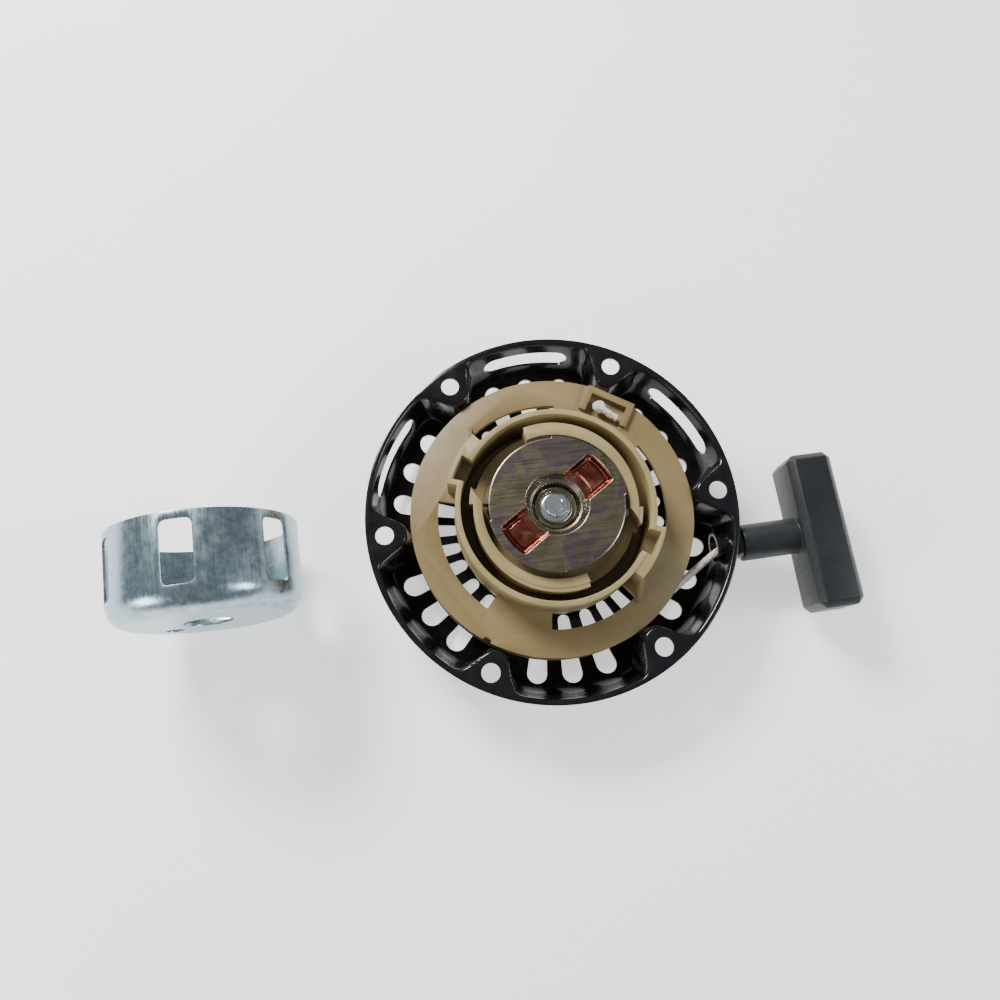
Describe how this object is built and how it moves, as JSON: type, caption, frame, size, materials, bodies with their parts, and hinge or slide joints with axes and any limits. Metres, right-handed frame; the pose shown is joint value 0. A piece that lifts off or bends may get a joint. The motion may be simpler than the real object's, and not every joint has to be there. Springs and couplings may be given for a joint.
{
  "type": "recoil starter",
  "caption": "Pull-rope recoil starter: pressed steel bowl housing, rope reel with ratchet hub, guide plate, T-grip, and a windowed steel starter cup lying beside it.",
  "frame": {"origin": "centre of the circle of mounting holes, on the engine side of the mounting flange, on the reel axis", "axes": "+Z along the reel axis towards the engine, +X the direction in which the rope is pulled, one mounting hole on +X"},
  "size_m": [0.3309, 0.173, 0.081],
  "materials": {
    "black_paint": "gloss",
    "post_steel": "turned",
    "washer_steel": "turned",
    "spring_steel": "blued",
    "eyelet_steel": "satin",
    "rope": "braided",
    "reel_plastic": "moulded",
    "pawl_steel": "satin",
    "guide_zinc": "yellow passivated",
    "bolt_zinc": "bright zinc",
    "bush_steel": "turned",
    "grip_plastic": "moulded",
    "cup_zinc": "blue zinc"
  },
  "bodies": {
    "housing": {"housing": "black_paint", "centre_post": "post_steel", "thrust_washer": "washer_steel", "rope_guide": "eyelet_steel", "rope_span": "rope", "guide_bush": "bush_steel", "centre_bolt": "bolt_zinc"},
    "reel": {"reel": "reel_plastic", "rope_winding": "rope", "rope_knot": "rope", "recoil_spring": "spring_steel", "pawl_spring_a": "spring_steel", "pawl_spring_b": "spring_steel"},
    "pawl_a": {"pawl_a": "pawl_steel"},
    "pawl_b": {"pawl_b": "pawl_steel"},
    "guide": {"ratchet_guide": "guide_zinc", "friction_spring": "spring_steel"},
    "handle": {"handle_grip": "grip_plastic", "handle_washer": "washer_steel", "handle_rope": "rope", "handle_knot": "rope"},
    "cup": {"starter_cup": "cup_zinc"}
  },
  "joints": [
    {"name": "reel_spin", "type": "hinge", "parent": "housing", "child": "reel", "pos_m": [0, 0, 0], "axis": [0, 0, 1], "range_deg": [0, 860], "stiffness_Nm_per_rad": 0.03, "springref_deg": -343.77},
    {"name": "guide_lag", "type": "hinge", "parent": "reel", "child": "guide", "pos_m": [0, 0, 0], "axis": [0, 0, 1], "range_deg": [-30, 0]},
    {"name": "pawl_a_swing", "type": "hinge", "parent": "reel", "child": "pawl_a", "pos_m": [-0.0093, 0.02212, 0], "axis": [0, 0, 1], "range_deg": [-38.2, 0.2]},
    {"name": "pawl_b_swing", "type": "hinge", "parent": "reel", "child": "pawl_b", "pos_m": [0.0093, -0.02212, 0], "axis": [0, 0, 1], "range_deg": [-38.2, 0.2]},
    {"name": "handle_pull", "type": "slide", "parent": "housing", "child": "handle", "axis": [1, 0, 0], "range_m": [0, 0.9356]},
    {"name": "cup_lift", "type": "slide", "parent": "housing", "child": "cup", "axis": [0, 0, 1], "range_m": [0, 0.08]}
  ],
  "couplings": [
    {"joint": "handle_pull", "follows": "reel_spin", "m_per_rad": 0.0622},
    {"joint": "pawl_a_swing", "follows": "guide_lag", "ratio": 1.26},
    {"joint": "pawl_b_swing", "follows": "guide_lag", "ratio": 1.26}
  ]
}
